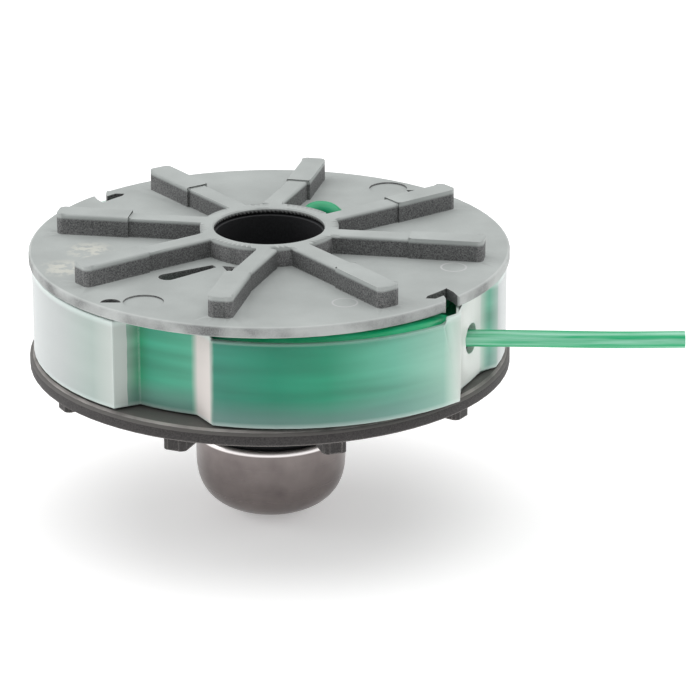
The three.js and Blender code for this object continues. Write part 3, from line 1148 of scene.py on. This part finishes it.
@dataclass
class Winding:
    """The stored line: layers of turns round the barrel, each layer laid over the last.

    Attributes:
        inner_radius: centre line radius of the first layer, in mm.
        outer_radius: centre line radius of the last layer, in mm.
        lowest: centre line height of the lowest turn, in mm.
        highest: centre line height of the highest turn, in mm.
        layers: number of layers.
        turns: turns that climb or fall in one layer.
        step_turns: part of a turn that steps out to the next layer.
        points: points on each turn.
    """

    inner_radius: float = 14.75
    outer_radius: float = 27.0
    lowest: float = -16.1
    highest: float = TOP_TURN
    layers: int = 6
    turns: float = 4.1
    step_turns: float = 0.4
    points: int = 28

    def route(self) -> list[Vector]:
        """Lays the line layer by layer.

        Returns:
            The centre line from the barrel outwards.
        """
        made: list[Vector] = []
        turn = 0.0
        pitch = (self.outer_radius - self.inner_radius) / (self.layers - 1)
        heights = (self.highest, self.lowest)
        for layer in range(self.layers):
            radius = self.inner_radius + pitch * layer
            start, end = heights if layer % 2 == 0 else heights[::-1]
            count = round(self.turns * self.points)
            for step in range(count):
                share = step / count
                azimuth = 360 * (turn + self.turns * share)
                made.append(polar(radius, azimuth, start + (end - start) * share))
            turn += self.turns
            if layer == self.layers - 1:
                continue
            count = round(self.step_turns * self.points)
            for step in range(count):
                share = step / count
                eased = share * share * (3 - 2 * share)
                azimuth = 360 * (turn + self.step_turns * share)
                made.append(polar(radius + pitch * eased, azimuth, end))
            turn += self.step_turns
        return made + self.outlet(360 * (turn % 1) - 360)

    def outlet(self, azimuth: float) -> list[Vector]:
        """Leads the last turn to its end at the top of the winding.

        Args:
            azimuth: azimuth where the last layer ends, in degrees.

        Returns:
            The points of the last stretch.
        """
        route = [polar(self.outer_radius + 0.3, azimuth + 12, self.highest)]
        route.append(polar(27.5, -75, self.highest))
        route.append(polar(27.6, -55, self.highest))
        route.append(polar(27.6, -40, self.highest))
        return smooth_route(route, 8)

    def build(self, material: bpy.types.Material) -> None:
        """Args:
            material: finish of the line.
        """
        route = self.route()
        piece = line_curve("wound_line", route, LINE_DIAMETER, Body.SPOOL, material)
        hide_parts("line_winding")


@dataclass
class FreeLine:
    """The line that shows: the free end, the strand under the rim and the one at the collar.

    Attributes:
        reach: where the free end stops, in mm along X.
        exit_y: where the free end leaves the slot, in mm along Y.
        guide_radius: radius of the line behind the band, in mm.
        steps: points on each stretch of a route.
    """

    reach: float = 57.7
    exit_y: float = -16.0
    guide_radius: float = 29.85
    steps: int = 5

    def free_end(self, material: bpy.types.Material) -> None:
        """Args:
            material: finish of the line.
        """
        level = LINE_HEIGHT / MM
        route = [polar(self.guide_radius, azimuth, level) for azimuth in (40, 47, 53.8)]
        route.append(Vector((25.7, -16.35, level)) * MM)
        route.append(Vector((27.4, self.exit_y, level)) * MM)
        route.append(Vector((30.5, self.exit_y, level)) * MM)
        route.append(Vector((38.0, self.exit_y, level - 0.1)) * MM)
        route.append(Vector((48.0, self.exit_y, level - 0.25)) * MM)
        route.append(Vector((self.reach, self.exit_y, level - 0.2)) * MM)
        points = smooth_route(route, self.steps)
        piece = line_curve("free_line_end", points, LINE_DIAMETER, Body.BAND, material, 5)
        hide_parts("line_tail")

    def run_out(self, material: bpy.types.Material) -> None:
        """Args:
            material: finish of the line.
        """
        stations = [(29.6, -12, 0.0), (30.9, -4, 0.0), (31.8, 8, 0.0), (32.5, 24, 0.0),
                    (32.9, 38, 0.05), (32.5, 46, 0.4), (31.6, 51, 1.5), (30.9, 54.5, 2.4)]
        route = [polar(radius, azimuth, TOP_TURN - sink) for radius, azimuth, sink in stations]
        points = smooth_route(route, self.steps)
        piece = line_curve("run_out_strand", points, LINE_DIAMETER, Body.BAND, material, 5)

    def anchor(self, material: bpy.types.Material) -> None:
        """Makes the strand laced behind the hub collar.

        Args:
            material: finish of the line.
        """
        height = FLANGE_TOP / MM + 0.3 + LINE_DIAMETER / MM / 2
        laced = [(5.0, 10.9, 1.4), (6.0, 11.6, 0.5), (7.2, 11.9, 0.3), (8.6, 11.5, 0.5),
                 (9.9, 10.6, 1.5)]
        route = [Vector((x, y, height - sink)) * MM for x, y, sink in laced]
        points = smooth_route(route, self.steps)
        piece = line_curve("anchor_strand", points, LINE_DIAMETER, Body.SPOOL, material, 5)
        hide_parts("line_anchor")
        LOG.info("anchor_strand: laced behind the collar")


@dataclass
class Moulding:
    """A moulded piece: the CAD shape with its hard corners rounded.

    Attributes:
        node: CAD node that it stands for.
        name: name of the piece.
        body: body that it rides on.
        slot: material slot; not used.
        rounding: width of the rounded corners, in metres.
        shortest: edges shorter than this stay sharp, in metres.
        sharp_below: height under which inner edges stay sharp, in metres.
        sharp_inside: radius inside which those edges stay sharp, in metres.
        hub_radius: edges wholly inside this radius stay sharp, in metres.
        step_radius: radius where the ribs step, whose cross edges stay sharp, in metres.
        step_reach: how near that radius such an edge lies, in metres.
        corner_angle: edges that turn less than this stay as they are, in degrees.
        segments: faces across a rounded corner.
        evenness: how far the large faces set the shading.
    """

    node: str
    name: str
    body: Body
    slot: Slot
    rounding: float = 0.22 * MM
    shortest: float = 0.75 * MM
    sharp_below: float = -1.0
    sharp_inside: float = 33.4 * MM
    hub_radius: float = 0.0
    step_radius: float = 20.3 * MM
    step_reach: float = 1.1 * MM
    corner_angle: float = 50.0
    segments: int = 4
    evenness: int = 80

    def build(self, material: bpy.types.Material) -> None:
        """Rounds the corners of a copy of the CAD shape.

        Args:
            material: finish of the piece.
        """
        shape = bmesh.new()
        shape.from_mesh(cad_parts[self.node].data)
        bmesh.ops.remove_doubles(shape, verts=shape.verts, dist=WELD)
        corners = [edge for edge in shape.edges if self.is_corner(edge)]
        bmesh.ops.bevel(shape, geom=corners, offset=self.rounding, offset_type="OFFSET",
                        segments=self.segments, profile=0.5, affect="EDGES", material=-1,
                        clamp_overlap=False, loop_slide=True)
        bmesh.ops.remove_doubles(shape, verts=shape.verts, dist=WELD)
        mesh = bpy.data.meshes.new(self.name)
        shape.to_mesh(mesh)
        shape.free()
        mesh.shade_smooth()
        mesh.set_sharp_from_angle(angle=CREASE)
        piece = mesh_piece(self.name, mesh, self.body, material)
        even = piece.modifiers.new("flat_faces_stay_flat", "WEIGHTED_NORMAL")
        even.mode = "FACE_AREA"
        even.weight = self.evenness
        even.keep_sharp = True
        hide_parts(self.node)
        LOG.info("%s: %d corners rounded, %d faces", self.name, len(corners),
                 len(mesh.polygons))

    def is_corner(self, edge: bmesh.types.BMEdge) -> bool:
        """Tells whether an edge is a corner that the mould rounds.

        Args:
            edge: an edge of the merged CAD shape.

        Returns:
            True where the edge is rounded.
        """
        if len(edge.link_faces) != 2 or edge.calc_length() < self.shortest:
            return False
        for vert in edge.verts:
            if vert.co.z < self.sharp_below and vert.co.xy.length < self.sharp_inside:
                return False
        if all(vert.co.xy.length < self.hub_radius for vert in edge.verts):
            return False
        if all(abs(vert.co.xy.length - self.step_radius) < self.step_reach
               for vert in edge.verts):
            return False
        return edge.calc_face_angle(0.0) > math.radians(self.corner_angle)


@dataclass
class Knob:
    """The domed metal cap that is bumped on the ground.

    Attributes:
        radius: outer radius, in mm.
        wall: thickness of the metal, in mm.
        rim: height of the rim, in mm.
        shoulder: height where the dome starts, in mm.
        bottom: height of the dome's lowest point, in mm.
        power: fullness of the dome.
        steps: rings on the dome.
        segments: segments round the cap.
        lip_steps: steps over the rounded rim.
    """

    radius: float = 10.75
    wall: float = 0.9
    rim: float = -30.25
    shoulder: float = -33.95
    bottom: float = -42.45
    power: float = 2.7
    steps: int = 22
    segments: int = 96
    lip_steps: int = 6

    def dome(self, radius: float, bottom: float) -> list[tuple[float, float]]:
        """Draws the dome from its lowest point to its shoulder.

        Args:
            radius: radius at the shoulder, in mm.
            bottom: height of the lowest point, in mm.

        Returns:
            Radius and height of each point, in mm.
        """
        points = []
        for step in range(self.steps + 1):
            angle = step / self.steps * math.pi / 2
            across = math.sin(angle) ** (2 / self.power)
            down = max(math.cos(angle), 0.0) ** (2 / self.power)
            points.append((radius * across, self.shoulder - (self.shoulder - bottom) * down))
        return points

    def build(self, material: bpy.types.Material) -> None:
        """Spins the cap's wall round its axis.

        Args:
            material: finish of the cap.
        """
        lip = []
        for step in range(self.lip_steps + 1):
            angle = step / self.lip_steps * math.pi
            middle = self.radius - self.wall / 2
            lip.append((middle + self.wall / 2 * math.cos(angle),
                        self.rim - self.wall / 2 + self.wall / 2 * math.sin(angle)))
        inside = self.dome(self.radius - self.wall, self.bottom + self.wall)
        profile = self.dome(self.radius, self.bottom) + lip + inside[::-1]
        shape = bmesh.new()
        verts = [shape.verts.new((r * MM, 0.0, z * MM)) for r, z in profile]
        edges = [shape.edges.new(pair) for pair in zip(verts, verts[1:])]
        bmesh.ops.spin(shape, geom=verts + edges, cent=(0, 0, 0), axis=(0, 0, 1),
                       angle=2 * math.pi, steps=self.segments, use_merge=True)
        bmesh.ops.remove_doubles(shape, verts=shape.verts, dist=0.002 * MM)
        bmesh.ops.dissolve_degenerate(shape, dist=0.001 * MM, edges=shape.edges)
        bmesh.ops.recalc_face_normals(shape, faces=shape.faces)
        mesh = bpy.data.meshes.new("bump_cap_shell")
        shape.to_mesh(mesh)
        shape.free()
        mesh.shade_smooth()
        piece = mesh_piece("bump_cap_shell", mesh, Body.KNOB, material)
        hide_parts("bump_cap")
        LOG.info("bump_cap_shell: %d faces", len(mesh.polygons))


@dataclass
class ReturnSpring:
    """The coil between the seat and the knob's lip; the real coil shortens as the knob is bumped,
    but here it is built at one length on the spool.

    Attributes:
        radius: radius of the coil's centre line, in mm.
        wire: thickness of the wire, in mm.
        live_turns: open turns between the closed ends.
        dead_turns: closed turns at each end.
        travel: how far the knob pushes the coil together, in mm; not used.
        steps: sections of wire on each turn.
        sides: sides of the wire's round section.
        dead_fall: how far a closed end falls, as a share of the wire.
        end_crease: angle from which the wire's cut ends stay sharp, in degrees.
    """

    radius: float = 9.9
    wire: float = 1.1
    live_turns: float = 2.5
    dead_turns: float = 0.75
    travel: float = 4.0
    steps: int = 48
    sides: int = 14
    dead_fall: float = 0.04
    end_crease: float = 60.0

    def build(self, material: bpy.types.Material) -> None:
        """Spins the wire's section down the coil.

        Args:
            material: finish of the wire.
        """
        low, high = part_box("return_spring")
        length = high[2] - low[2]
        dead_drop = self.dead_fall * self.wire * MM
        live_drop = length - self.wire * MM - 2 * dead_drop
        shape = bmesh.new()
        place = (Matrix.Translation((self.radius * MM, 0.0, high[2] - self.wire / 2 * MM))
                 @ Matrix.Rotation(math.pi / 2, 4, "X"))
        start = bmesh.ops.create_circle(shape, cap_ends=True, segments=self.sides,
                                        radius=self.wire / 2 * MM, matrix=place)
        ring = list({edge for vert in start["verts"] for edge in vert.link_edges})
        for turns, drop in ((self.dead_turns, dead_drop), (self.live_turns, live_drop),
                            (self.dead_turns, dead_drop)):
            count = round(turns * self.steps)
            swept = bmesh.ops.spin(shape, geom=ring, cent=(0, 0, 0), axis=(0, 0, 1),
                                   dvec=(0, 0, -drop / count), angle=turns * 2 * math.pi,
                                   steps=count, use_merge=False)
            ring = [item for item in swept["geom_last"] if isinstance(item, bmesh.types.BMEdge)]
        bmesh.ops.contextual_create(shape, geom=ring)
        bmesh.ops.recalc_face_normals(shape, faces=shape.faces)
        mesh = bpy.data.meshes.new("return_spring_coil")
        shape.to_mesh(mesh)
        shape.free()
        mesh.shade_smooth()
        mesh.set_sharp_from_angle(angle=math.radians(self.end_crease))
        piece = mesh_piece("return_spring_coil", mesh, Body.SPOOL, material)
        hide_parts("return_spring")
        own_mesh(piece)
        LOG.info("return_spring_coil: %.2f mm long, %d faces", length / MM,
                 len(mesh.polygons))


# ------------------------------------------------------------------ studio
@dataclass
class Studio:
    """Camera, soft lights and the plain pale floor.

    Attributes:
        eye: place of the camera, in metres.
        aim: point that it looks at, in metres.
        lens: focal length, in mm on a 36 mm sensor.
        floor: brightness of the floor.
        ambient: strength of the light from all round.
        glow: light that comes up through the floor, as on a light table.
        floor_size: half the floor's side, in metres.
        floor_gap: gap under the lowest point, in metres.
        middle: point that the lamps face, in metres.
        lamps: name, place, power and size of each soft light.
    """

    eye: Point = (0.01139, -0.5234, 0.17975)
    aim: Point = (0.01139, 0.0, -0.01877)
    lens: float = 201.6
    floor: float = 0.92
    ambient: float = 0.55
    glow: float = 0.3
    floor_size: float = 4.0
    floor_gap: float = 0.05 * MM
    middle: Point = (0.0, 0.0, -0.02)
    lamps: tuple[tuple[str, Point, float, float], ...] = (
        ("overhead", (0.0, 0.15, 1.1), 9.5, 1.7),
        ("left", (-0.8, 0.1, 0.35), 3.0, 0.6),
        ("right", (0.8, 0.2, 0.3), 1.6, 0.6),
    )

    def camera(self) -> None:
        """Places the camera."""
        data = bpy.data.cameras.new("camera")
        data.sensor_width = SENSOR
        data.lens = self.lens
        data.clip_start = 0.01
        data.clip_end = 50.0
        camera = bpy.data.objects.new("camera", data)
        camera.location = self.eye
        look = Vector(self.aim) - Vector(self.eye)
        camera.rotation_euler = look.to_track_quat("-Z", "Y").to_euler()
        bpy.context.scene.collection.objects.link(camera)
        bpy.context.scene.camera = camera

    def area(self, name: str, place: Point, power: float, size: float) -> None:
        """Hangs a soft square light that faces the cassette.

        Args:
            name: name of the light.
            place: its place, in metres.
            power: its power, in watts.
            size: its side, in metres.
        """
        data = bpy.data.lights.new(name, "AREA")
        data.energy = power
        data.size = size
        light = bpy.data.objects.new(name, data)
        light.location = place
        look = Vector(self.middle) - Vector(place)
        light.rotation_euler = look.to_track_quat("-Z", "Y").to_euler()
        bpy.context.scene.collection.objects.link(light)

    def build(self) -> None:
        """Lights the scene and lays the floor."""
        world = bpy.data.worlds.new("studio")
        world.use_nodes = True
        background = world.node_tree.nodes["Background"]
        background.inputs["Color"].default_value = (1.0, 1.0, 1.0, 1.0)
        background.inputs["Strength"].default_value = self.ambient
        bpy.context.scene.world = world
        bpy.context.scene.view_settings.view_transform = "Standard"
        for name, place, power, size in self.lamps:
            self.area(name, place, power, size)

        shape = bmesh.new()
        bmesh.ops.create_grid(shape, x_segments=1, y_segments=1, size=self.floor_size)
        level = CAD_BOX[0].z - self.floor_gap
        bmesh.ops.translate(shape, verts=shape.verts, vec=(0.0, 0.0, level))
        mesh = bpy.data.meshes.new("floor")
        shape.to_mesh(mesh)
        shape.free()
        material = bpy.data.materials.new("pale_floor")
        material.use_nodes = True
        shader = material.node_tree.nodes["Principled BSDF"]
        shader.inputs["Base Color"].default_value = (self.floor, self.floor, self.floor, 1)
        shader.inputs["Roughness"].default_value = 0.9
        shader.inputs["Specular IOR Level"].default_value = 0.1
        shader.inputs["Emission Color"].default_value = (1.0, 1.0, 1.0, 1.0)
        shader.inputs["Emission Strength"].default_value = self.glow
        mesh.materials.append(material)
        floor = bpy.data.objects.new("floor", mesh)
        bpy.context.scene.collection.objects.link(floor)


# ------------------------------------------------------------------ finishes in use
# In the nylon finishes below the side colour is darker than the face colour: painted shade on the
# upright faces.
LIGHT_NYLON = MouldedNylon(
    name="light_nylon",
    face=(0.40, 0.425, 0.415),
    shaded_side=(0.20, 0.203, 0.202),
    speck=(0.045, 0.046, 0.047),
    worn=(0.52, 0.54, 0.53),
    wear=0.4,
    roughness=0.62,
    pale_above=-0.2 * MM,
    rubbed_ring=33.85 * MM,
    marks=((25.8 * MM, -9.75 * MM, 1.75 * MM), (10.7 * MM, -24.1 * MM, 1.7 * MM)),
    scuffs=(tuple(polar(25.5, -84, -2.75)), tuple(polar(30.0, -70, -2.75))),
)
DARK_NYLON = MouldedNylon(
    name="dark_nylon",
    face=(0.115, 0.109, 0.103),
    shaded_side=(0.062, 0.057, 0.056),
    speck=(0.022, 0.020, 0.020),
    worn=(0.42, 0.39, 0.375),
    wear=0.95,
    roughness=0.6,
    rubbed_ring=33.6 * MM,
)
BLACK_NYLON = MouldedNylon(
    name="black_nylon",
    face=(0.022, 0.023, 0.025),
    shaded_side=(0.018, 0.019, 0.021),
    speck=(0.009, 0.009, 0.010),
    worn=(0.07, 0.07, 0.072),
    wear=0.4,
    roughness=0.55,
)
BAND_PLASTIC = MilkyPlastic(
    name="milky_band_plastic",
    stations=(
        (-36.5, (0.26, 0.42, 0.34), 0.85),
        (-34.8, (0.010, 0.33, 0.15), 0.8),
        (-31.5, (0.045, 0.42, 0.26), 0.74),
        (-19.5, (0.10, 0.50, 0.33), 0.74),
        (-17.8, (0.72, 0.67, 0.64), 0.95),
        (-13.0, (0.72, 0.67, 0.64), 0.95),
        (-12.2, (0.045, 0.30, 0.21), 0.74),
        (2.0, (0.012, 0.29, 0.17), 0.7),
        (14.0, (0.025, 0.35, 0.20), 0.7),
        (30.0, (0.15, 0.48, 0.35), 0.8),
        (43.0, (0.32, 0.58, 0.47), 0.88),
        (49.0, (0.72, 0.75, 0.71), 0.93),
        (66.5, (0.70, 0.73, 0.70), 0.94),
        (69.5, (0.10, 0.45, 0.30), 0.80),
        (73.0, (0.50, 0.53, 0.53), 0.95),
        (122.0, (0.44, 0.47, 0.465), 0.95),
        (135.0, (0.40, 0.48, 0.445), 0.93),
        (141.2, (0.52, 0.57, 0.54), 0.95),
    ),
    lower=-17.4 * MM,
    upper=-4.65 * MM,
)
# Painted light: deep is set bright so that the strand under the rim, which lies in shade, still
# reads bright green.
WOUND_NYLON = DrawnNylon(
    name="green_line_wound",
    deep=(0.004, 0.50, 0.20),
    pale=(0.05, 0.60, 0.31),
    stretch=(150.0, 150.0, 900.0),
)
# Painted shade: a darker copy of the same green line, for the strand laced down behind the hub
# collar.
SHADED_LACED_NYLON = DrawnNylon(
    name="green_line_laced_shaded",
    deep=(0.002, 0.30, 0.12),
    pale=(0.008, 0.38, 0.17),
    stretch=(150.0, 150.0, 900.0),
)
# Partly painted highlight: the pale streaks of the free end are strong, standing in for highlights
# along the line as well as for streaks.
FREE_NYLON = DrawnNylon(
    name="green_line_free",
    deep=(0.006, 0.40, 0.16),
    pale=(0.30, 0.66, 0.48),
    stretch=(45.0, 1300.0, 1300.0),
)
CAP_METAL = TurnedMetal(
    name="satin_cap_metal",
    bright=(0.225, 0.197, 0.190),
    dull=(0.165, 0.143, 0.140),
    roughness=0.3,
    rim_highlight_above=-30.85 * MM,
)
SPRING_METAL = TurnedMetal(
    name="spring_metal",
    bright=(0.50, 0.51, 0.53),
    dull=(0.38, 0.39, 0.41),
    roughness=0.3,
    lines=1200.0,
)

MOULDINGS = (
    (Moulding("upper_flange", "ribbed_upper_flange", Body.SPOOL, Slot.LIGHT_NYLON,
              rounding=0.36 * MM, sharp_below=-2.6 * MM, hub_radius=10.8 * MM), LIGHT_NYLON),
    (Moulding("lower_flange", "ribbed_lower_flange", Body.SPOOL, Slot.DARK_NYLON), DARK_NYLON),
    (Moulding("retaining_band", "milky_line_band", Body.BAND, Slot.MILKY_BAND), BAND_PLASTIC),
    (Moulding("winding_core", "dark_winding_core", Body.SPOOL, Slot.DARK_NYLON,
              rounding=0.12 * MM), BLACK_NYLON),
    (Moulding("knob_carrier", "dark_knob_carrier", Body.KNOB, Slot.DARK_NYLON,
              rounding=0.12 * MM), BLACK_NYLON),
    (Moulding("spring_seat", "steel_spring_seat", Body.SPOOL, Slot.SPRING_STEEL,
              rounding=0.06 * MM), SPRING_METAL),
)


def main() -> None:
    """Builds the studio and every piece of the cassette."""
    logging.basicConfig(level=logging.INFO, format="%(name)s: %(message)s")
    studio = Studio()
    studio.camera()
    stored = WOUND_NYLON.build()
    Winding().build(stored)
    free_line = FreeLine()
    free_line.free_end(FREE_NYLON.build())
    free_line.run_out(stored)
    free_line.anchor(SHADED_LACED_NYLON.build())
    studio.build()
    for moulding, finish in MOULDINGS:
        moulding.build(finish.build())
    Knob().build(CAP_METAL.build())
    ReturnSpring().build(SPRING_METAL.build())


if __name__ == "__main__":
    main()
